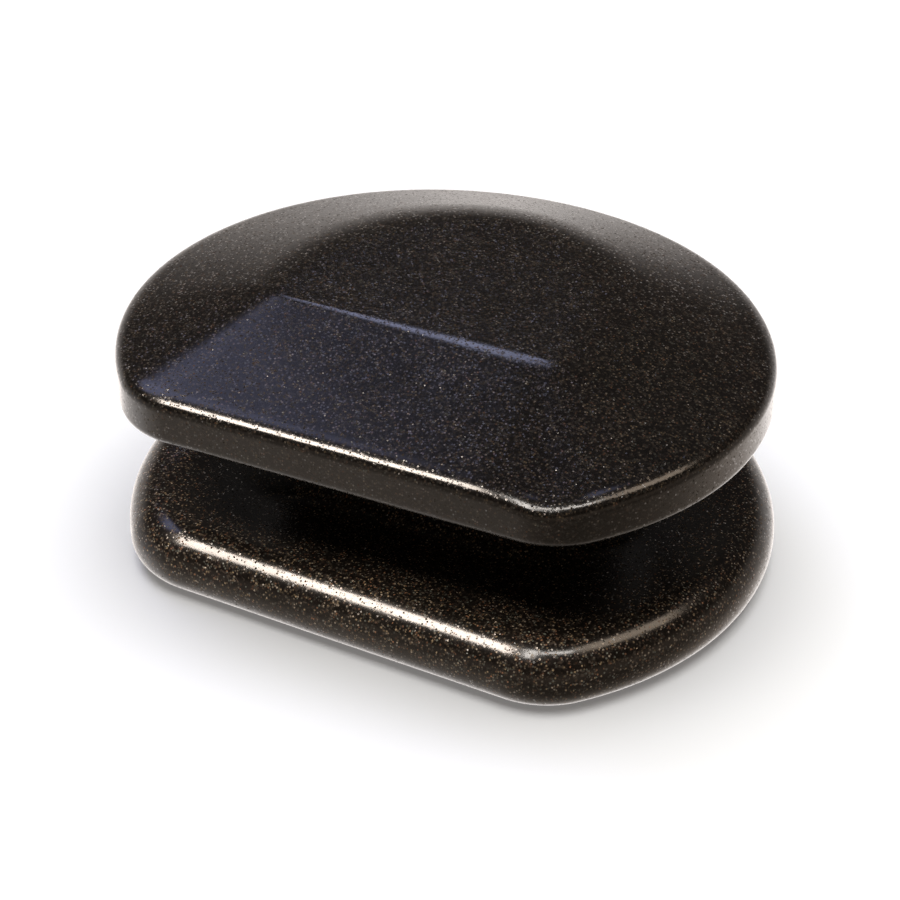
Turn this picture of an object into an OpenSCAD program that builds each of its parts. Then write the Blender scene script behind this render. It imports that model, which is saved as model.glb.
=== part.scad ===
// Basalt massage stone: two D-shaped stones, one standing on the other at a narrow waist.
// The origin is on the underside, below the widest line of the cap stone.
// +Z is up, +X runs along the straight front edges, and +Y runs towards the rounded back.

/* [Cap stone] */
// Width of the cap stone across its widest line
cap_w = 90; // [84:1:100]
// From the widest line to the straight front edge
cap_front = 31.4; // [28:0.2:34]
// From the widest line to the tip of the rounded back
cap_back = 42.5; // [40:0.5:46]
// Radius of the two front corners, seen from above
cap_corner = 12; // [11:0.5:15]
// Height of the upright side, from the underside to the rim
cap_wall = 6.9; // [5:0.1:10]
// Radius of the lower edge
cap_lower_r = 1.6; // [1:0.2:3]
// Radius of the rim, where the side turns into the slopes
cap_rim_r = 1.8; // [1:0.2:3]
// Rise of the sloping faces from the rim to the flat top
cap_rise = 5; // [3:0.2:8]

/* [Flat top of the cap] */
// Width of the flat top
top_w = 45.4; // [40:0.2:50]
// From the widest line forward to the front edge of the flat top
top_front = 7.6; // [5:0.2:9]
// From the widest line back to the rear edge of the flat top
top_back = 27; // [25:0.5:30]
// Radius of the two front corners of the flat top
top_corner = 3; // [2:0.5:4]
// How far the flat top lies off to the side, as it was ground by hand
top_shift = -1; // [-3:0.2:3]

/* [Base stone] */
// Width of the base stone across its widest line
base_w = 90; // [84:1:100]
// From the widest line to the straight front edge
base_front = 32.3; // [29:0.1:34]
// From the widest line to the tip of the rounded back
base_back = 43.8; // [41:0.2:47]
// Radius of the two front corners, seen from above
base_corner = 13; // [12:0.5:17]
// Height of the outline's widest level, below which the lower edge is rounded
base_lower_r = 3.9; // [3:0.1:5]
// Height of the upper edge rounding, from the widest level to the top
base_upper_r = 5.2; // [4:0.2:7]
// Turn of the base stone about the vertical, against the cap stone
base_turn = -2.9; // [-5:0.1:5]
// Sideways shift of the base stone
base_shift = 1; // [-2:0.2:2]

/* [Waist] */
// Height of the finger groove, from the base stone's top to the cap stone's underside
groove_h = 15.5; // [14:0.5:18]
// How far the groove is cut in from the cap stone's outline
groove_depth = 21; // [18:0.5:22]
// Radius of the waist's front corners, seen from above
waist_corner = 9; // [7:0.5:9]
// Radius that blends the waist into each stone
waist_fillet = 6.5; // [5:0.5:6.5]

/* [Hidden] */

// Colour of honed basalt
BASALT = [0.13, 0.115, 0.105];

// Angle between neighbouring points of an outline, and between the rings of a rounding
TURN_STEP = 6;
ROUND_STEP = 18;
FILLET_STEP = 22.5;

// How much is ground off the rounded underside to make it flat
GROUND_OFF = 0.3;
// Room that the grinding cut leaves all round the base stone
CUT_MARGIN = 5;

base_t = base_lower_r + base_upper_r;
split_z = base_t + groove_h / 2;
under_z = base_t + groove_h;
rim_z = under_z + cap_wall;

// Outward direction at which the front facet ends on the right front corner
FACET_END = -60;
// Length of the flat top's front edge that each of those ends fans out from
CORNER_SPREAD = 2.5;

// How sharply the slopes turn into the flat top, as a part of the slope's length
FRONT_BLEND = 0.05;
BACK_BLEND = 0.28;
// Outward directions between which the front's sharp turn softens into the back's
SOFTENS_FROM = -50;
SOFTENS_TO = 40;
// Levels of the rings up the slopes: 0 is the rim, and 1 is the edge of the flat top
SLOPE_LEVELS = [0.15, 0.3, 0.5, 0.72, 0.86, 0.95, 1.05, 1.15, 1 + BACK_BLEND];

// One D outline is [half width, front, back, corner radius], measured from the widest line.
CAP = [cap_w / 2, cap_front, cap_back, cap_corner];
BASE = [base_w / 2, base_front, base_back, base_corner];
WAIST = [cap_w / 2 - groove_depth, cap_front - groove_depth, cap_back - groove_depth, waist_corner];
FLAT_TOP = [top_w / 2, top_front, top_back, top_corner];

// Point of the right half of a D outline where its outward direction is at angle phi from +X.
// The back is half an ellipse, the front is a chord across it, and the whole is grown by the
// corner radius, so that the corners come out as arcs.
function half_point(d, phi, grow) =
    let (
        a = d[0] - d[3],
        b = d[2] - d[3],
        chord = d[3] - d[1],
        reach = norm([a * cos(phi), b * sin(phi)]),
        on_ellipse = [a * a * cos(phi) / reach, b * b * sin(phi) / reach],
        chord_end = [a * sqrt(1 - pow(chord / b, 2)), chord],
        core = on_ellipse[1] < chord ? chord_end : on_ellipse
    )
    core + (d[3] + grow) * [cos(phi), sin(phi)];

// Whole D outline as [x, y] points, anticlockwise from the right end of the front edge
function outline(d, grow = 0) =
    let (
        right = [for (phi = [-90:TURN_STEP:90]) half_point(d, phi, grow)],
        left = [for (i = [len(right) - 2:-1:0]) [-right[i][0], right[i][1]]]
    )
    concat(right, left);

// Outline lifted to a height
function ring(points, z) = [for (p = points) [p[0], p[1], z]];

// Outline part of the way from one outline to another, which has as many points
function between(from, to, part) = [for (i = [0:len(from) - 1]) from[i] + part * (to[i] - from[i])];

// Outline turned about the vertical and shifted sideways
function placed(points, turn, shift) = [
    for (p = points) [
        p[0] * cos(turn) - p[1] * sin(turn) + shift,
        p[0] * sin(turn) + p[1] * cos(turn)
    ]
];

// Closed solid through a stack of rings, flat at its first and last ring
module stack(rings) {
    n = len(rings[0]);
    last = len(rings) - 1;
    walls = [
        for (k = [0:last - 1], i = [0:n - 1])
            let (j = (i + 1) % n)
            each [
                [k * n + i, k * n + n + j, k * n + j],
                [k * n + i, k * n + n + i, k * n + n + j]
            ]
    ];
    polyhedron(
        points = [for (r = rings) each r],
        faces = concat([[for (i = [0:n - 1]) i]], walls, [[for (i = [n - 1:-1:0]) last * n + i]])
    );
}

// Blend between the slope (0 to 1) and the flat top (1), over a width w on both sides of 1
function ramp(s, w) = s < 1 - w ? s : s > 1 + w ? 1 : s - pow(s - 1 + w, 2) / (4 * w);

// Blend width at the outline point that faces angle phi: tight along the front ridge, soft behind
function blend_width(i, n) =
    let (
        half = (n - 1) / 2,
        phi = -90 + TURN_STEP * (i <= half ? i : n - 1 - i),
        t = min(max((phi - SOFTENS_FROM) / (SOFTENS_TO - SOFTENS_FROM), 0), 1)
    )
    FRONT_BLEND + (BACK_BLEND - FRONT_BLEND) * t * t * (3 - 2 * t);

// Right half of the flat top's outline, with its corner matched to the end of the front facet
function top_half() = [
    for (phi = [-90:TURN_STEP:90])
        phi <= FACET_END
            ? half_point(FLAT_TOP, -90, 0) - [CORNER_SPREAD * (FACET_END - phi) / (FACET_END + 90), 0]
            : half_point(FLAT_TOP, phi < 0 ? -90 * phi / FACET_END : phi, 0)
];

// Outline of the flat top, with as many points as the outline of the cap stone
function top_outline() =
    let (right = top_half())
    placed(concat(right, [for (i = [len(right) - 2:-1:0]) [-right[i][0], right[i][1]]]), 0, top_shift);

// Ring of the slopes and the flat top, part s of the way in from the rim
function slope_ring(s) =
    let (
        points = between(outline(CAP, -cap_rim_r), top_outline(), s),
        n = len(points)
    )
    [for (i = [0:n - 1]) [points[i][0], points[i][1], rim_z + cap_rise * ramp(s, blend_width(i, n))]];

// Ring of the base stone's edge, where its surface faces angle t above the horizontal
function base_edge_ring(t) =
    let (r = t < 0 ? base_lower_r + GROUND_OFF : base_upper_r)
    ring(placed(outline(BASE, -r * (1 - cos(t))), base_turn, base_shift), base_lower_r + r * sin(t));

// Base stone before its underside is ground flat
module rounded_base() {
    stack(concat(
        [for (t = [-90:ROUND_STEP:90]) base_edge_ring(t)],
        [
            for (t = [0:FILLET_STEP:90])
                ring(outline(WAIST, waist_fillet * (1 - sin(t))), base_t + waist_fillet * (1 - cos(t)))
        ],
        [ring(outline(WAIST), split_z)]
    ));
}

module base_stone() {
    color(BASALT)
        difference() {
            rounded_base();
            translate([-base_w / 2 - CUT_MARGIN, -base_front - CUT_MARGIN, -CUT_MARGIN])
                cube([base_w + 2 * CUT_MARGIN, base_front + base_back + 2 * CUT_MARGIN, CUT_MARGIN]);
        }
}

module cap_stone() {
    color(BASALT)
        stack(concat(
            [ring(outline(WAIST), split_z)],
            [
                for (t = [90:-FILLET_STEP:0])
                    ring(outline(WAIST, waist_fillet * (1 - sin(t))), under_z - waist_fillet * (1 - cos(t)))
            ],
            [
                for (t = [0:ROUND_STEP:90])
                    ring(outline(CAP, -cap_lower_r * (1 - sin(t))), under_z + cap_lower_r * (1 - cos(t)))
            ],
            [
                for (t = [0:ROUND_STEP:90 - ROUND_STEP])
                    ring(outline(CAP, -cap_rim_r * (1 - cos(t))), rim_z - cap_rim_r * (1 - sin(t)))
            ],
            [for (s = SLOPE_LEVELS) slope_ring(s)]
        ));
}

base_stone();
cap_stone();
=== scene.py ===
"""Looks of the basalt massage stone: a fine mesh of each stone, honed basalt, a floor and lights."""

import math

import bmesh
import bpy
import numpy as np
from mathutils import Matrix, Vector, noise


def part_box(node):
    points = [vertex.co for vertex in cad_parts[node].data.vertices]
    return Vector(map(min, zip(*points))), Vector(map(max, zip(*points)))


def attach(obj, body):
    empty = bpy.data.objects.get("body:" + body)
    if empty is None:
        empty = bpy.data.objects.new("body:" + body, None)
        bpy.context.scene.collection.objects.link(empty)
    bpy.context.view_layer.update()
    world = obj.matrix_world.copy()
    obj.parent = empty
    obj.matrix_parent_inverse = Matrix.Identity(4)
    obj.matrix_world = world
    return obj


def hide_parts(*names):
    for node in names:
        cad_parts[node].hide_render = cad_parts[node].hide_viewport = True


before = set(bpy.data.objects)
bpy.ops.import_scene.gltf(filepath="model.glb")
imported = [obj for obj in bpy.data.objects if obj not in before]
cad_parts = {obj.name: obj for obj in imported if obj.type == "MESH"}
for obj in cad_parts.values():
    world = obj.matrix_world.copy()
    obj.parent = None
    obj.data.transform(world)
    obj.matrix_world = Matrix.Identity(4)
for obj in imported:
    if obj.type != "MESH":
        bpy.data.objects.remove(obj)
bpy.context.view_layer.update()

# Lengths of the stones are in millimetres, and turn into metres when a mesh is made.
MM = 0.001
cap_low, cap_high = (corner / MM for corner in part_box("cap_stone"))

# The same sizes as the CAD model has. A D outline is (half width, front, back, corner radius).
CAP_CORNER = 12.0
CAP_LOWER_R = 1.6
CAP_RIM_R = 1.8
CAP_RISE = 5.0
CAP_WALL = 6.9
TOP_OUTLINE = (22.7, 7.6, 27.0, 3.0)
TOP_SHIFT = -1.0
BASE_OUTLINE = (45.0, 32.3, 43.8, 13.0)
BASE_LOWER_R = 3.9
BASE_UPPER_R = 5.2
BASE_TURN = math.radians(-2.9)
BASE_SHIFT = 1.0
GROUND_OFF = 0.3
GROOVE_DEPTH = 21.0
WAIST_CORNER = 9.0
WAIST_FILLET = 6.5
BACK_BLEND = 0.28
SOFTENS_FROM = -50.0
SOFTENS_TO = 40.0
FACET_END = -60.0
CORNER_SPREAD = 2.5

TOP_Z = cap_high.z
SPLIT_Z = cap_low.z
RIM_Z = TOP_Z - CAP_RISE
UNDER_Z = RIM_Z - CAP_WALL
BASE_TOP_Z = BASE_LOWER_R + BASE_UPPER_R
CAP_OUTLINE = (cap_high.x, -cap_low.y, cap_high.y, CAP_CORNER)
WAIST_OUTLINE = tuple(v - GROOVE_DEPTH for v in CAP_OUTLINE[:3]) + (WAIST_CORNER,)

# Above this angle, in degrees, the rim opens out into a shoulder of this radius, slowly at first
SHOULDER_START = 48.0
SHOULDER_R = 12.0
SHOULDER_POWER = 1.5
# Blend of the front ridge at its two ends, as a part of the slope's length, and half the ridge's
# own length
RIDGE_LEFT = 0.025
RIDGE_RIGHT = 0.08
FRONT_HALF = 22.0
# Spread over which the creases beside the front facet are rounded, in degrees of the outline
CREASE_SOFTNESS = 4.0
# How much of the way up to the facet's plane the rim rises round the front corners
CORNER_RISE = 0.2
# The rim is ground a little lower at the right front corner: how much, where, and how widely
CORNER_DIP = 0.85
DIP_AT = 29.5
DIP_WIDTH = 5.5
# Chamfer round the two faces that meet in the waist
MEET_CHAMFER = 0.25

# Pieces of an outline's straight front and of its arc, and points on the front between its ends
CHORD_PIECES = 56
ARC_PIECES = 240
FRONT_POINTS = CHORD_PIECES - 1
# Rings over each stretch of the surface
FLAT_RINGS = 12
FILLET_RINGS = 12
BASE_LOWER_RINGS = 12
BASE_UPPER_RINGS = 18
CAP_LOWER_RINGS = 10
WALL_RINGS = 5
RIM_RINGS = 20
RIDGE_RINGS = 20
# Spacing of the rings up the slopes, the closer spacing near the ridge, and where that starts
SLOPE_SPACING = 0.03
RIDGE_SPACING = 0.01
NEAR_RIDGE = 0.9
# Points on the rim's profile, and the first guess of the angle where it meets the slope, in
# degrees, with how many times that is worked out again
PROFILE_POINTS = 721
RIM_GUESS = 77.0
SETTLE_ROUNDS = 6
# How far in towards its middle the rings of a flat face lie, and where those middles are
FACE_PARTS = list(np.linspace(0, 0.96, 25)[1:]) + [0.985]
FACE_CENTRE = (0.0, 6.0)
TOP_CENTRE = (TOP_SHIFT, 8.0)


# ---------------------------------------------------------------- outlines and rings

def arc_angles():
    """Outward directions of an outline's arc, from the right end of the front edge to the left."""
    return np.radians(np.linspace(-90, 270, ARC_PIECES + 1))


def with_front(arc):
    """Whole outline: along the straight front from left to right, and back round the arc."""
    along = np.linspace(0, 1, CHORD_PIECES + 1)[1:-1, None]
    return np.concatenate([arc[-1] + (arc[0] - arc[-1]) * along, arc])


def outline(sizes, grow=0.0):
    """Points of a D outline: half an ellipse cut by a chord, grown by the corner radius."""
    half_w, front, back, corner = sizes
    a, b = half_w - corner, back - corner
    chord = corner - front
    chord_x = a * math.sqrt(1 - (chord / b) ** 2)
    phi = arc_angles()
    side = np.where(phi <= math.pi / 2, 1.0, -1.0)
    reach = np.hypot(a * np.cos(phi), b * np.sin(phi))
    x = a * a * np.cos(phi) / reach
    y = b * b * np.sin(phi) / reach
    low = y < chord
    x = np.where(low, side * chord_x, x)
    y = np.where(low, chord, y)
    r = corner + grow
    return with_front(np.stack([x + r * np.cos(phi), y + r * np.sin(phi)], axis=1))


def directions():
    """Outward direction in degrees of every point of an outline."""
    return np.concatenate([np.full(FRONT_POINTS, -90.0), np.degrees(arc_angles())])


def half_directions():
    """Outward direction of every point as if it were on the right half, -90 to 90 degrees."""
    phi = directions()
    return np.where(phi > 90, 180 - phi, phi)


def placed(points, turn, shift):
    """Points turned about the vertical and shifted sideways."""
    c, s = math.cos(turn), math.sin(turn)
    return points @ np.array([[c, s], [-s, c]]) + np.array([shift, 0.0])


def lifted(points, z):
    """Outline points with a height, or with a height for each of them."""
    return np.column_stack([points, np.broadcast_to(z, len(points))])


def steps(start, end, count):
    """Evenly spaced values from start to end, start left out."""
    return list(np.linspace(start, end, count + 1)[1:])


def bridge(start, end, count):
    """Evenly spaced rings from one ring to another, the first ring left out."""
    return [start + (end - start) * part for part in steps(0, 1, count)]


def shrunk(ring, parts, centre):
    """Rings from one ring towards its centre, for a flat face."""
    middle = np.array([centre[0], centre[1], 0.0])
    flat = ring - middle
    return [middle + flat * np.array([1 - p, 1 - p, 1.0]) for p in parts]


# ---------------------------------------------------------------- the waist, which both stones share

def fillet_ring(t, face_z, side):
    """Ring of the waist's blend out of a stone's flat face, upwards if side is 1, downwards if -1."""
    points = outline(WAIST_OUTLINE, WAIST_FILLET * (1 - math.sin(t)))
    return lifted(points, face_z + side * WAIST_FILLET * (1 - math.cos(t)))


def meet_rings(side):
    """Both edges of the chamfer round the meeting face: side is 1 for the base, -1 for the cap."""
    outer = lifted(outline(WAIST_OUTLINE), SPLIT_Z - side * MEET_CHAMFER)
    inner = lifted(outline(WAIST_OUTLINE, -MEET_CHAMFER), SPLIT_Z)
    return outer, inner


# ---------------------------------------------------------------- base stone

def base_edge(t):
    """Ring of the base stone's edge, where it faces t radians above the horizontal."""
    r = BASE_LOWER_R + GROUND_OFF if t < 0 else BASE_UPPER_R
    points = placed(outline(BASE_OUTLINE, -r * (1 - math.cos(t))), BASE_TURN, BASE_SHIFT)
    return lifted(points, BASE_LOWER_R + r * math.sin(t))


def base_rings():
    """Rings of the base stone: underside, rounded edge, top, and the waist up to the meeting face."""
    lower_end = -math.asin(BASE_LOWER_R / (BASE_LOWER_R + GROUND_OFF))
    foot = base_edge(lower_end)
    rings = shrunk(foot, reversed(FACE_PARTS), FACE_CENTRE) + [foot]
    rings += [base_edge(t) for t in steps(lower_end, 0, BASE_LOWER_RINGS)]
    rings += [base_edge(t) for t in steps(0, math.pi / 2, BASE_UPPER_RINGS)]
    rings += bridge(rings[-1], fillet_ring(0, BASE_TOP_Z, 1), FLAT_RINGS)
    rings += [fillet_ring(t, BASE_TOP_Z, 1) for t in steps(0, math.pi / 2, FILLET_RINGS)]
    rings += meet_rings(1)
    return rings + shrunk(rings[-1], FACE_PARTS, FACE_CENTRE)


# ---------------------------------------------------------------- cap stone

def rim_profile():
    """Angle, inset and height of the rim's rounding, which opens out into a soft shoulder."""
    t = np.linspace(0, math.pi / 2, PROFILE_POINTS)
    opening = np.clip((t - math.radians(SHOULDER_START)) / math.radians(90 - SHOULDER_START), 0, 1)
    radius = CAP_RIM_R + (SHOULDER_R - CAP_RIM_R) * opening ** SHOULDER_POWER
    pace = t[1]
    inset = np.concatenate([[0], np.cumsum((radius * np.sin(t))[1:] * pace)])
    rise = np.concatenate([[0], np.cumsum((radius * np.cos(t))[1:] * pace)])
    return t, inset, rise


RIM_PROFILE = rim_profile()


def rim_ring(t, lift):
    """Ring of the cap's rim, where each point faces its own angle t above the horizontal."""
    angles, insets, rises = RIM_PROFILE
    inset = np.interp(t, angles, insets)
    phi = np.radians(directions())
    points = outline(CAP_OUTLINE) - inset[:, None] * np.stack([np.cos(phi), np.sin(phi)], axis=1)
    return lifted(points, RIM_Z - CAP_RIM_R + np.interp(t, angles, rises) + lift)


def corner_lift(tilt):
    """Lift of the rim round the front corners, where a facet of this tilt runs on, less the dip."""
    phi = half_directions()
    r = CAP_CORNER - CAP_RIM_R
    on_plane = r * (1 + np.sin(np.radians(phi))) * tilt
    end = r * (1 + math.sin(math.radians(FACET_END))) * tilt
    fall = np.clip((phi - FACET_END) / -FACET_END, 0, 1)
    rise = CORNER_RISE * np.where(phi <= FACET_END, on_plane, end * (1 - fall) ** 2)
    x, y = outline(CAP_OUTLINE).T
    dip = np.exp(-((x - DIP_AT) / DIP_WIDTH) ** 2) * (y < 0)
    return rise - CORNER_DIP * dip


def flat_top_outline():
    """Edge of the flat top, with its corners matched to the ends of the front facet."""
    phi = np.degrees(arc_angles())
    folded = half_directions()[FRONT_POINTS:]
    turned = -90 + (folded - FACET_END) / -FACET_END * 90
    mapped = np.where(folded <= FACET_END, -90.0, np.where(folded < 0, turned, folded))
    mapped = np.where(phi > 90, 180 - mapped, mapped)
    arc = outline(TOP_OUTLINE)[FRONT_POINTS:]
    points = np.stack([np.interp(mapped, phi, arc[:, axis]) for axis in (0, 1)], axis=1)
    share = np.clip((FACET_END - folded) / (FACET_END + 90), 0, 1)
    points[:, 0] -= np.sign(points[:, 0]) * CORNER_SPREAD * share
    return with_front(points)


def settled_rim(flat):
    """Angle at which the rim meets the slope up to the flat top, and the rim's lift, at each point.

    They depend on each other, so they start from a rough angle and are worked out a few times over.
    """
    t_end = np.full(len(flat), math.radians(RIM_GUESS))
    lift = np.zeros(len(flat))
    for _ in range(SETTLE_ROUNDS):
        run = flat - rim_ring(t_end, lift)
        slope = run[:, 2] / np.hypot(run[:, 0], run[:, 1])
        t_end = math.pi / 2 - np.arctan(slope)
        lift = corner_lift(slope[CHORD_PIECES // 2])
    return t_end, lift


def ramp(s, w):
    """Blend between the slope, 0 to 1, and the flat top, over a width w on both sides of 1."""
    blend = s - (s - 1 + w) ** 2 / (4 * w)
    return np.where(s < 1 - w, s, np.where(s > 1 + w, 1.0, blend))


def blend_widths():
    """Blend width at each point: tight along the front ridge, soft behind."""
    t = np.clip((half_directions() - SOFTENS_FROM) / (SOFTENS_TO - SOFTENS_FROM), 0, 1)
    along = np.clip((outline(CAP_OUTLINE)[:, 0] / FRONT_HALF + 1) / 2, 0, 1)
    front = RIDGE_LEFT + (RIDGE_RIGHT - RIDGE_LEFT) * along
    return front + (BACK_BLEND - front) * t * t * (3 - 2 * t)


def smoothed(z, degrees):
    """Heights of a ring's arc averaged with their neighbours, which rounds the creases across it."""
    count = int(3 * degrees * ARC_PIECES / 360)
    offsets = np.arange(-count, count + 1)
    weights = np.exp(-0.5 * (offsets * 360 / ARC_PIECES / degrees) ** 2)
    arc = np.pad(z[FRONT_POINTS:], count, mode="edge")
    z = z.copy()
    z[FRONT_POINTS:] = np.convolve(arc, weights / weights.sum(), mode="valid")
    return z


def top_levels():
    """Levels of the rings from the rim, at 0, to the flat top's edge, at 1, and a blend past it."""
    slopes = np.arange(SLOPE_SPACING, NEAR_RIDGE, SLOPE_SPACING)
    ridge = np.arange(NEAR_RIDGE, 1.0, RIDGE_SPACING)
    past = np.arange(1.0, 1.0 + BACK_BLEND + 0.001, BACK_BLEND / RIDGE_RINGS)
    return [*slopes, *ridge, *past]


def slope_rings(start, flat):
    """Rings from the rim up the slopes, over the ridge, and a blend's width into the flat top."""
    widths = blend_widths()
    reach = np.hypot(*(flat - start)[:, :2].T)
    inward = np.array([*TOP_CENTRE, TOP_Z]) - flat
    inward *= (reach / np.hypot(*inward[:, :2].T))[:, None]
    rings = []
    for level in top_levels():
        past = max(level - 1, 0) * widths / BACK_BLEND
        ring = start + (flat - start) * min(level, 1) + inward * past[:, None]
        z = start[:, 2] + (TOP_Z - start[:, 2]) * ramp(min(level, 1) + past, widths)
        ring[:, 2] = smoothed(z, CREASE_SOFTNESS)
        rings.append(ring)
    return rings


def cap_under_rings():
    """Rings of the cap stone from the meeting face up the waist and out to the rounded lower edge."""
    outer, inner = meet_rings(-1)
    rings = shrunk(inner, reversed(FACE_PARTS), FACE_CENTRE) + [inner, outer]
    fillet = [math.pi / 2] + steps(math.pi / 2, 0, FILLET_RINGS)
    rings += [fillet_ring(t, UNDER_Z, -1) for t in fillet]
    lower = lifted(outline(CAP_OUTLINE, -CAP_LOWER_R), UNDER_Z)
    rings += bridge(rings[-1], lower, FLAT_RINGS)
    for t in steps(0, math.pi / 2, CAP_LOWER_RINGS):
        points = outline(CAP_OUTLINE, -CAP_LOWER_R * (1 - math.sin(t)))
        rings.append(lifted(points, UNDER_Z + CAP_LOWER_R * (1 - math.cos(t))))
    return rings


def cap_rings():
    """Rings of the cap stone: meeting face, waist, underside, upright side, rim, slopes, flat top."""
    rings = cap_under_rings()
    flat = lifted(placed(flat_top_outline(), 0, TOP_SHIFT), TOP_Z)
    t_end, lift = settled_rim(flat)
    wall_low = lifted(outline(CAP_OUTLINE), UNDER_Z + CAP_LOWER_R)
    rings += bridge(wall_low, rim_ring(t_end * 0, lift), WALL_RINGS)
    rings += [rim_ring(t_end * part, lift) for part in steps(0, 1, RIM_RINGS)]
    rings += slope_rings(rings[-1], flat)
    return rings + shrunk(rings[-1], FACE_PARTS, TOP_CENTRE)


# ---------------------------------------------------------------- meshes

# Slight unevenness left by grinding and polishing by hand: (wavelength, height) in millimetres
WAVES = ((26.0, 0.05), (11.0, 0.022), (5.0, 0.006))
# Height above and below a flat face over which the unevenness fades in
CALM = 1.2


def closed_mesh(name, rings):
    """Closed mesh through a stack of rings, with a point in the middle of both end faces."""
    n = len(rings[0])
    points = np.concatenate(rings + [rings[0].mean(0)[None], rings[-1].mean(0)[None]]) * MM
    bottom, top = len(points) - 2, len(points) - 1
    last = (len(rings) - 1) * n
    faces = []
    for k in range(len(rings) - 1):
        for i in range(n):
            j = (i + 1) % n
            faces.append((k * n + i, k * n + j, k * n + n + j, k * n + n + i))
    for i in range(n):
        j = (i + 1) % n
        faces.append((j, i, bottom))
        faces.append((last + i, last + j, top))
    mesh = bpy.data.meshes.new(name)
    mesh.from_pydata([tuple(p) for p in points], [], faces)
    return mesh


def roughen(mesh, seed, flat_levels):
    """Moves the surface in and out by a few hundredths, but leaves the flat faces alone."""
    bm = bmesh.new()
    bm.from_mesh(mesh)
    bm.normal_update()
    offset = Vector((seed, 2 * seed, 3 * seed))
    moves = []
    for v in bm.verts:
        p = v.co / MM
        height = sum(h * noise.noise(p / length + offset) for length, h in WAVES)
        calm = min(min(abs(p.z - level) for level in flat_levels) / CALM, 1.0)
        moves.append(v.normal * height * calm * MM)
    for v, move in zip(bm.verts, moves):
        v.co += move
    for face in bm.faces:
        face.smooth = True
    bm.to_mesh(mesh)
    bm.free()


def add_stone(name, rings, material, body, node, seed, flat_levels):
    """Stone that rides on a body and stands for that body's CAD node."""
    mesh = closed_mesh(name, rings)
    roughen(mesh, seed, flat_levels)
    mesh.materials.append(material)
    stone = bpy.data.objects.new(name, mesh)
    bpy.context.scene.collection.objects.link(stone)
    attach(stone, body)
    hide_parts(node)
    return stone


# ---------------------------------------------------------------- materials

# Grains of the rock per metre. Flecks of mineral are as fine, and lie in this share of the grains.
GRAIN = 3300.0
FLECK_SHARE = 0.5
# Part of the flecks that lie at a steep angle and glint on their own, and how steeply they do
GLINT_SHARE = 0.3
GLINT_TILT = 0.9
# Shades of the grains, as multiples of the ground colour, along a random number from 0 to 1
GROUND_SHADES = ((0.0, 0.40), (0.5, 0.75), (0.85, 1.5), (1.0, 3.2))
# Gold, rust, greenish and whitish mineral, each from this value of a random number upwards
FLECK_TINTS = (
    (0.0, (0.20, 0.15, 0.09)),
    (0.35, (0.17, 0.085, 0.045)),
    (0.55, (0.11, 0.12, 0.10)),
    (0.8, (0.26, 0.22, 0.17)),
)
# Factors that turn a fleck's three random numbers into fresh ones
TINT_FACTOR = 97.3
GAIN_FACTOR = 61.7
GLINT_FACTOR = 83.1
# Patches of tone and of polish wear, per metre
CLOUD_SCALE = 110.0
WEAR_SCALE = 260.0
# How much rougher than the polished ground the flecks are
FLECK_ROUGHER = 0.10
# Depth of the fine pits, in metres
PIT_DEPTH = 0.00003
STONE_IOR = 1.38


class Nodes:
    """Short way to add nodes to a material or a world and to link them."""

    def __init__(self, tree):
        self.tree = tree

    def put(self, socket, value):
        """Links a socket to another one, or gives it a fixed value."""
        if isinstance(value, bpy.types.NodeSocket):
            self.tree.links.new(value, socket)
        else:
            socket.default_value = value

    def add(self, kind, values=None, **settings):
        """New node, with its settings and what goes into its inputs."""
        node = self.tree.nodes.new(kind)
        for key, value in settings.items():
            setattr(node, key, value)
        for key, value in (values or {}).items():
            self.put(node.inputs[key], value)
        return node

    def maths(self, operation, a, b=0.0):
        """Result of an operation on two numbers."""
        return self.add("ShaderNodeMath", {0: a, 1: b}, operation=operation).outputs[0]

    def vector(self, operation, a, b=(0.0, 0.0, 0.0)):
        """Result of an operation on two vectors."""
        return self.add("ShaderNodeVectorMath", {0: a, 1: b}, operation=operation).outputs[0]

    def dot(self, a, b):
        """How far one direction lies along another, from -1 to 1."""
        node = self.add("ShaderNodeVectorMath", {0: a, 1: b}, operation="DOT_PRODUCT")
        return node.outputs["Value"]

    def span(self, value, low, high, to_low=0.0, to_high=1.0):
        """Value moved from one range to another, and kept inside it."""
        keys = {"Value": value, "From Min": low, "From Max": high, "To Min": to_low, "To Max": to_high}
        return self.add("ShaderNodeMapRange", keys).outputs[0]

    def smooth(self, value, low, high):
        """Smooth step from 0 at low to 1 at high."""
        keys = {"Value": value, "From Min": low, "From Max": high}
        return self.add("ShaderNodeMapRange", keys, interpolation_type="SMOOTHSTEP").outputs[0]

    def ramp(self, value, stops, interpolation="LINEAR"):
        """Colour picked along a row of (place, colour) stops."""
        node = self.add("ShaderNodeValToRGB", {"Fac": value})
        node.color_ramp.interpolation = interpolation
        elements = node.color_ramp.elements
        while len(elements) < len(stops):
            elements.new(1.0)
        for element, (place, colour) in zip(elements, stops):
            element.position = place
            element.color = (*colour, 1.0)
        return node.outputs["Color"]

    def scaled(self, colour, factor):
        """Colour or vector times a number."""
        triple = self.add("ShaderNodeCombineXYZ", {0: factor, 1: factor, 2: factor})
        return self.vector("MULTIPLY", colour, triple.outputs[0])

    def reroll(self, value, factor):
        """Fresh random number out of another one's last digits."""
        return self.maths("FRACT", self.maths("MULTIPLY", value, factor))

    def mix(self, factor, a, b):
        """Colour a where the factor is 0, and colour b where it is 1."""
        node = self.add("ShaderNodeMix", {0: factor}, data_type="RGBA")
        self.put(node.inputs[6], a)
        self.put(node.inputs[7], b)
        return node.outputs[2]

    def soft_noise(self, place, scale, detail):
        """Soft random number, which changes over about 1 / scale metres."""
        values = {"Vector": place, "Scale": scale, "Detail": detail}
        return self.add("ShaderNodeTexNoise", values).outputs["Fac"]


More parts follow.
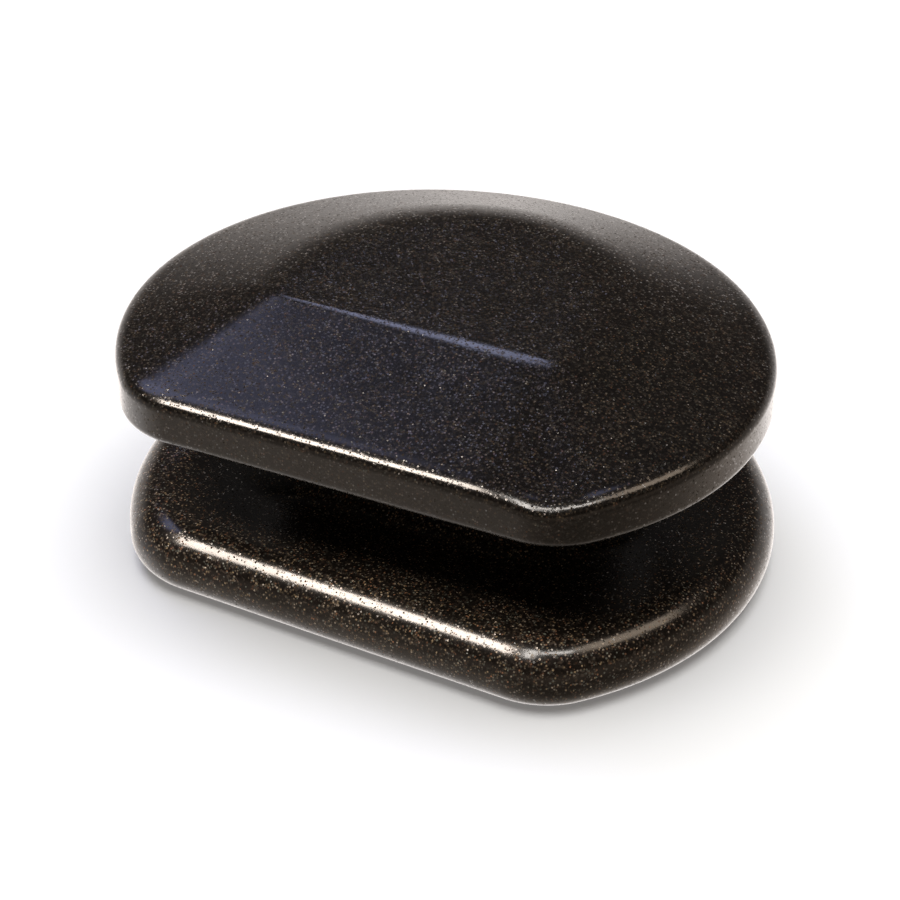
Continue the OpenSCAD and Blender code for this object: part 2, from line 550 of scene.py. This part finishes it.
def fleck_colour(n, draws, brightness):
    """Colour of the mineral flecks, each of its own tint and brightness."""
    tint = n.ramp(n.reroll(draws[0], TINT_FACTOR), FLECK_TINTS, "CONSTANT")
    gain = n.span(n.maths("POWER", n.reroll(draws[1], GAIN_FACTOR), 2.0), 0.0, 1.0, 0.3, 2.2)
    return n.scaled(tint, n.maths("MULTIPLY", gain, brightness))


def stone_roughness(n, place, draw, mask, rough):
    """Roughness, which wear moves between the two values in rough, and which is higher on flecks."""
    worn = n.span(n.soft_noise(place, WEAR_SCALE, 5.0), 0.3, 0.7, rough[0], rough[1])
    worn = n.maths("ADD", worn, n.span(draw, 0.0, 1.0, -0.01, 0.02))
    return n.maths("ADD", worn, n.maths("MULTIPLY", mask, FLECK_ROUGHER))


def fleck_normal(n, flecks, draws, mask, fleck_tilt):
    """Surface direction, with each fleck tilted its own way and some of them steeply."""
    middle = (1 - FLECK_SHARE / 2, 0.5, 0.5)
    tilt = n.vector("SUBTRACT", flecks.outputs["Color"], middle)
    tilt = n.vector("MULTIPLY", tilt, (1 / FLECK_SHARE, 1.0, 1.0))
    glints = n.maths("GREATER_THAN", n.reroll(draws[2], GLINT_FACTOR), 1 - GLINT_SHARE)
    strength = n.maths("MULTIPLY", mask, n.span(glints, 0.0, 1.0, fleck_tilt, GLINT_TILT))
    normal = n.add("ShaderNodeNewGeometry").outputs["Normal"]
    return n.vector("NORMALIZE", n.vector("ADD", normal, n.scaled(tilt, strength)))


def basalt(name, ground, brightness, fleck_tilt, rough):
    """Honed basalt: a dark ground mass of fine grains, with flecks of mineral that glint."""
    material = bpy.data.materials.new(name)
    material.use_nodes = True
    tree = material.node_tree
    tree.nodes.clear()
    n = Nodes(tree)
    place = n.add("ShaderNodeTexCoord").outputs["Object"]

    # draws holds three random numbers for each grain, and mask is 1 in the middle of a fleck
    grains = n.add("ShaderNodeTexVoronoi", {"Vector": place, "Scale": GRAIN})
    draws = n.add("ShaderNodeSeparateColor", {"Color": grains.outputs["Color"]}).outputs
    near = n.span(grains.outputs["Distance"], 0.15, 0.6, 1.0, 0.0)
    mask = n.maths("MULTIPLY", n.maths("GREATER_THAN", draws[0], 1 - FLECK_SHARE), near)

    shades = [(at, tuple(shade * c for c in ground)) for at, shade in GROUND_SHADES]
    colour = n.mix(mask, n.ramp(draws[0], shades), fleck_colour(n, draws, brightness))
    colour = n.scaled(colour, n.span(n.soft_noise(place, CLOUD_SCALE, 4.0), 0.3, 0.7, 0.8, 1.2))

    bump = n.add("ShaderNodeBump", {
        "Strength": 0.10,
        "Distance": PIT_DEPTH,
        "Height": n.soft_noise(place, GRAIN * 0.5, 3.0),
        "Normal": fleck_normal(n, grains, draws, mask, fleck_tilt),
    })
    shader = n.add("ShaderNodeBsdfPrincipled", {
        "Base Color": colour,
        "Roughness": stone_roughness(n, place, draws[1], mask, rough),
        "Normal": bump.outputs[0],
        "IOR": STONE_IOR,
    })
    out = n.add("ShaderNodeOutputMaterial")
    tree.links.new(shader.outputs[0], out.inputs[0])
    return material


def floor_material():
    """Matt white, with hardly any unevenness, that shines a little by itself."""
    material = bpy.data.materials.new("pale_floor")
    material.use_nodes = True
    n = Nodes(material.node_tree)
    shader = material.node_tree.nodes["Principled BSDF"]
    cloud = n.add("ShaderNodeTexNoise", {"Scale": 4.0, "Detail": 2.0}).outputs["Fac"]
    tone = n.ramp(cloud, ((0.0, (0.83, 0.83, 0.84)), (1.0, (0.86, 0.86, 0.865))))
    n.put(shader.inputs["Base Color"], tone)
    n.put(shader.inputs["Roughness"], 0.75)
    n.put(shader.inputs["Emission Color"], (1.0, 1.0, 1.0, 1.0))
    n.put(shader.inputs["Emission Strength"], 0.15)
    return material


# ---------------------------------------------------------------- the two stones

def add_base_stone():
    """Lower stone, with the lower half of the waist."""
    material = basalt(
        "base_basalt", ground=(0.0062, 0.0050, 0.0040), brightness=0.37, fleck_tilt=0.30,
        rough=(0.15, 0.20),
    )
    return add_stone(
        "base_stone_honed", base_rings(), material, body="base", node="base_stone",
        seed=3.7, flat_levels=(0.0, SPLIT_Z),
    )


def add_cap_stone():
    """Upper stone, with the upper half of the waist, darker and more polished than the lower one."""
    material = basalt(
        "cap_basalt", ground=(0.0036, 0.0031, 0.0026), brightness=0.082, fleck_tilt=0.34,
        rough=(0.14, 0.18),
    )
    return add_stone(
        "cap_stone_honed", cap_rings(), material, body="cap", node="cap_stone",
        seed=8.1, flat_levels=(SPLIT_Z,),
    )


# ---------------------------------------------------------------- floor, lights and room, in metres

# Half the width of the floor, how many squares it has along a side, and its gap below the stone
FLOOR_HALF = 3.0
FLOOR_SQUARES = 24
FLOOR_GAP = 0.00005

# Point of the stone that the lights face
CENTRE = Vector((0.0, 0.004, 0.018))
WARM = (1.0, 0.87, 0.76)
WHITE = (1.0, 0.94, 0.88)
COOL = (0.62, 0.67, 1.0)
AMBER = (1.0, 0.80, 0.62)
FLOOR_WHITE = (1.0, 1.0, 0.975)

# Light of the room by height, from straight down at 0 to straight up at 1
ROOM_TONES = (
    (0.0, (1.6, 1.6, 1.6)),
    (0.25, (2.3, 2.25, 2.2)),
    (0.45, (1.1, 1.08, 1.06)),
    (0.54, (0.90, 0.86, 0.83)),
    (0.66, (0.085, 0.075, 0.068)),
    (1.0, (0.085, 0.085, 0.10)),
)
# The room is brightest towards this side, and darkest and warmest away from it
BRIGHT_SIDE = (-0.75, 0.66, 0.0)
DARK_STRENGTH = 0.16
DARK_TINT = (1.0, 0.80, 0.62, 1.0)
BRIGHT_TINT = (1.0, 0.95, 0.93, 1.0)
GLOW_COLOUR = (0.56, 0.60, 0.96)


def add_floor():
    """Large pale sheet that the stone stands on, and that the stone doesn't mirror."""
    bm = bmesh.new()
    bmesh.ops.create_grid(bm, x_segments=FLOOR_SQUARES, y_segments=FLOOR_SQUARES, size=FLOOR_HALF)
    mesh = bpy.data.meshes.new("floor")
    bm.to_mesh(mesh)
    bm.free()
    mesh.materials.append(floor_material())
    floor = bpy.data.objects.new("floor", mesh)
    floor.location.z = -FLOOR_GAP
    bpy.context.scene.collection.objects.link(floor)
    floor.visible_glossy = False
    return floor


def add_light(name, only, towards, distance, long, across, along, radiance, colour):
    """Rectangular light that only one group catches, with directions towards it and along it."""
    out = Vector(towards).normalized()
    up = Vector(along)
    up = (up - up.dot(out) * out).normalized()
    side = up.cross(out)
    light = bpy.data.lights.new(name, "AREA")
    light.shape = "RECTANGLE"
    light.size = across
    light.size_y = long
    light.color = colour
    light.energy = radiance * math.pi * long * across
    lamp = bpy.data.objects.new(name, light)
    turn = Matrix((side, up, out)).transposed().to_4x4()
    lamp.matrix_world = Matrix.Translation(CENTRE + out * distance) @ turn
    lamp.visible_camera = False
    lamp.light_linking.receiver_collection = only
    bpy.context.scene.collection.objects.link(lamp)


def receivers(name, objects):
    """Collection of what a light may reach."""
    group = bpy.data.collections.new(name)
    for item in objects:
        group.objects.link(item)
    return group


def add_lights(stones, floor):
    """A broad light above that only the floor catches, and smaller ones that only the stones do."""
    stones = receivers("lit_stones", stones)
    floor = receivers("lit_floor", [floor])
    add_light(
        "overhead", floor, towards=(-0.03, 0.09, 0.99), distance=1.5, long=1.7, across=1.7,
        along=(0, 1, 0), radiance=3.5, colour=FLOOR_WHITE,
    )
    add_light(
        "key_strip", stones, towards=(-0.405, -0.31, 0.83), distance=1.0, long=0.36, across=0.25,
        along=(0, 0.75, 0.25), radiance=58.0, colour=WARM,
    )
    add_light(
        "second_strip", stones, towards=(-0.05, -0.34, 0.93), distance=1.0, long=0.44, across=0.14,
        along=(0.1, -0.9, -0.42), radiance=34.0, colour=WHITE,
    )
    add_light(
        "corner_strip", stones, towards=(0.23, -0.12, 0.96), distance=1.0, long=0.42, across=0.13,
        along=(0.36, 0.25, -0.05), radiance=26.0, colour=WHITE,
    )
    add_light(
        "fill_right", stones, towards=(0.49, 0.24, 0.83), distance=1.1, long=0.50, across=0.34,
        along=(0.13, 0.40, -0.2), radiance=6.8, colour=AMBER,
    )
    add_light(
        "cool_ridge", stones, towards=(-0.385, 0.63, 0.70), distance=1.2, long=0.18, across=0.16,
        along=(0, 1, -0.8), radiance=6.5, colour=COOL,
    )


def glow(n, direction, centre, inner, outer, strength):
    """Soft round glow in the room, which fades from the inner to the outer angle, in degrees."""
    facing = n.dot(direction, tuple(Vector(centre).normalized()))
    low, high = math.cos(math.radians(outer)), math.cos(math.radians(inner))
    return n.maths("MULTIPLY", n.smooth(facing, low, high), strength)


def room_light(n, direction, height):
    """Light of the room: bright below and dim above, darker and warmer away from the bright side."""
    tone = n.ramp(n.span(height, -1.0, 1.0), ROOM_TONES)
    depth = n.maths("POWER", n.span(n.dot(direction, BRIGHT_SIDE), -0.85, 0.45), 1.5)
    tint = n.mix(depth, DARK_TINT, BRIGHT_TINT)
    strength = n.maths(
        "MAXIMUM", n.span(depth, 0.0, 1.0, DARK_STRENGTH, 1.0), n.span(height, -0.42, 0.3)
    )
    return n.scaled(n.vector("MULTIPLY", tone, tint), strength)


def room_glows(n, direction, height):
    """Two bluish glows: a broad one up to the left, cut off below, and a small one above."""
    side = glow(n, direction, (-0.60, 0.28, 0.75), inner=9.0, outer=16.2, strength=3.7)
    side = n.maths("MULTIPLY", side, n.smooth(height, 0.62, 0.74))
    corner = glow(n, direction, (0.0, 0.34, 0.94), inner=1.0, outer=7.0, strength=3.0)
    return n.scaled(GLOW_COLOUR, n.maths("ADD", side, corner))


def add_world():
    """Room that the stones mirror."""
    world = bpy.data.worlds.new("room")
    bpy.context.scene.world = world
    world.use_nodes = True
    tree = world.node_tree
    tree.nodes.clear()
    n = Nodes(tree)
    direction = n.add("ShaderNodeTexCoord").outputs["Generated"]
    height = n.add("ShaderNodeSeparateXYZ", {0: direction}).outputs[2]
    light = n.vector("ADD", room_light(n, direction, height), room_glows(n, direction, height))
    shader = n.add("ShaderNodeBackground", {"Color": light})
    out = n.add("ShaderNodeOutputWorld")
    tree.links.new(shader.outputs[0], out.inputs[0])


# ---------------------------------------------------------------- camera

# Degrees to the right of the front and above the horizon, and metres from the point it looks at
CAMERA_AZIMUTH = 26.36
CAMERA_ELEVATION = 33.16
CAMERA_DISTANCE = 0.4253
CAMERA_TARGET = Vector((0.00079, 0.0, 0.01349))
# Width of the sensor and focal length, in millimetres
SENSOR_WIDTH = 36.0
FOCAL_LENGTH = 123.54


def add_camera():
    """Camera in front and to the right of the stone, which looks down on it through a long lens."""
    azimuth, elevation = math.radians(CAMERA_AZIMUTH), math.radians(CAMERA_ELEVATION)
    back = Vector((
        math.sin(azimuth) * math.cos(elevation),
        -math.cos(azimuth) * math.cos(elevation),
        math.sin(elevation),
    ))
    data = bpy.data.cameras.new("camera")
    data.sensor_width = SENSOR_WIDTH
    data.lens = FOCAL_LENGTH
    data.clip_start = 0.01
    camera = bpy.data.objects.new("camera", data)
    camera.location = CAMERA_TARGET + back * CAMERA_DISTANCE
    camera.rotation_mode = "QUATERNION"
    camera.rotation_quaternion = (-back).to_track_quat("-Z", "Y")
    bpy.context.scene.collection.objects.link(camera)
    bpy.context.scene.camera = camera


def main():
    """The two stones, the floor, the lights, the room and the camera."""
    bpy.context.scene.view_settings.view_transform = "Standard"
    stones = [add_base_stone(), add_cap_stone()]
    add_lights(stones, add_floor())
    add_world()
    add_camera()


main()
